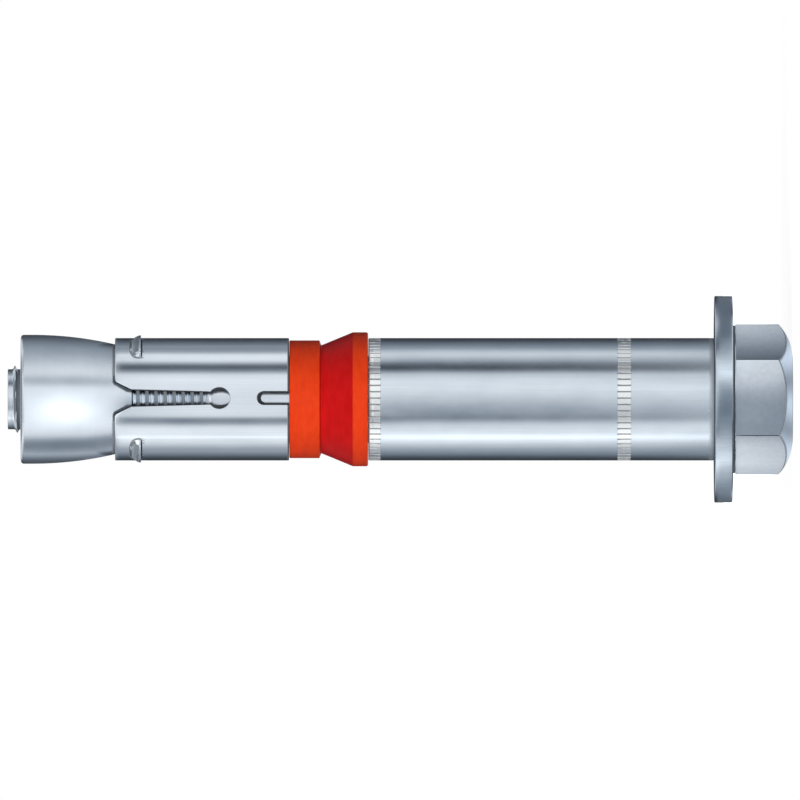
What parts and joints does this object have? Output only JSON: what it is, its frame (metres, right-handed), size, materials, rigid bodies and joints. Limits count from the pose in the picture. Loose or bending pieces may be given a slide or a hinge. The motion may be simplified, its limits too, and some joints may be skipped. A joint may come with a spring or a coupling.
{
  "type": "sleeve anchor",
  "caption": "Heavy-duty sleeve anchor: hex bolt through a washer, knurled spacer sleeve, plastic crush ring and slit expansion sleeve into a cone nut, for a hole drilled in concrete.",
  "frame": {"origin": "middle of the flat on the end of the head, on which the anchor stands", "axes": "+Z along the bolt from the head to the tip; one slot of the expansion sleeve faces -Y and two flats of the head face -Y and +Y"},
  "size_m": [0.0285, 0.0284, 0.1083],
  "materials": {
    "bolt_steel": "bright zinc plating on a forged bolt",
    "washer_steel": "zinc plating on a stamped washer",
    "sleeve_steel": "zinc plating on drawn tube, fine lines along the axis",
    "nut_steel": "zinc plating on a turned cone",
    "ring_plastic": "moulded orange-red plastic"
  },
  "bodies": {
    "sleeve": {"expansion_sleeve": "sleeve_steel", "crush_ring": "ring_plastic"},
    "bolt": {"hex_bolt": "bolt_steel"},
    "nut": {"cone_nut": "nut_steel"},
    "washer": {"washer": "washer_steel"},
    "spacer": {"spacer_sleeve": "sleeve_steel"}
  },
  "joints": [
    {"name": "bolt_turn", "type": "hinge", "parent": "sleeve", "child": "bolt", "pos_m": [0, 0, 0], "axis": [0, 0, -1], "range_deg": [0, 2880]},
    {"name": "nut_travel", "type": "slide", "parent": "sleeve", "child": "nut", "axis": [0, 0, 1], "range_m": [0, 0.01]},
    {"name": "washer_spin", "type": "hinge", "parent": "bolt", "child": "washer", "pos_m": [0, 0, 0], "axis": [0, 0, 1], "continuous": true},
    {"name": "spacer_spin", "type": "hinge", "parent": "bolt", "child": "spacer", "pos_m": [0, 0, 0], "axis": [0, 0, 1], "continuous": true}
  ],
  "couplings": [
    {"joint": "nut_travel", "follows": "bolt_turn", "m_per_rad": 0.00019894}
  ]
}
